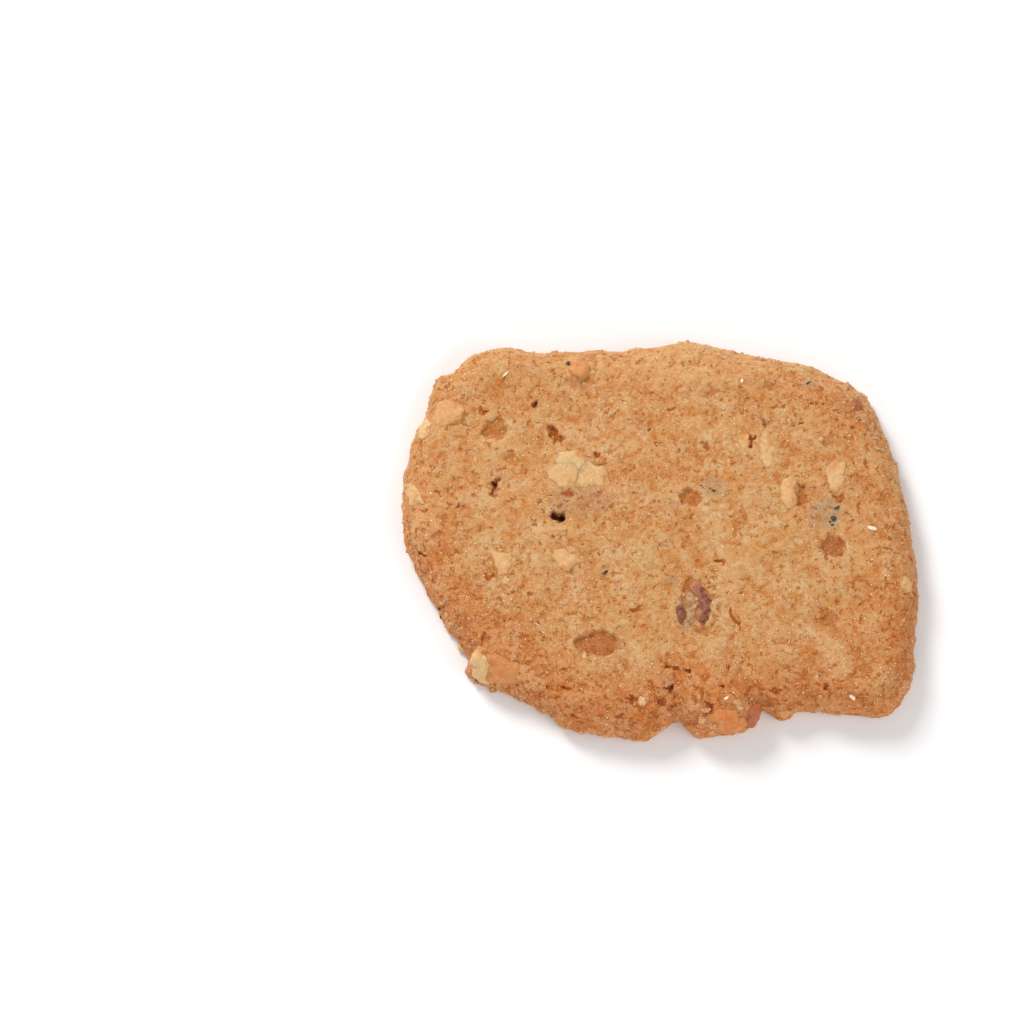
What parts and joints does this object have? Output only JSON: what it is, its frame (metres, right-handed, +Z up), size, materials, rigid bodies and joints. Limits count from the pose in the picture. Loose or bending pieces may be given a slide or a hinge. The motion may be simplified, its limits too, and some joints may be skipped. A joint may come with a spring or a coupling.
{
  "type": "hazelnut cookie",
  "caption": "rounded rectangular hazelnut cookie with chopped nuts baked in, an eaten-by-hand biscuit that lies on its flat base",
  "frame": {"origin": "on the base, under the middle of the cookie's bounding box", "axes": "+X along the cookie, to the right as it is seen from the front; +Y across it, away from the front; +Z up, out of the domed upper face"},
  "size_m": [0.0618, 0.049, 0.0068],
  "materials": {
    "baked_dough": "matt golden-brown baked crust, sandy and finely pitted, paler in the middle and browner at the rim, with cream-yellow cut nuts"
  },
  "bodies": {
    "root": {"cookie": "baked_dough"}
  },
  "joints": []
}
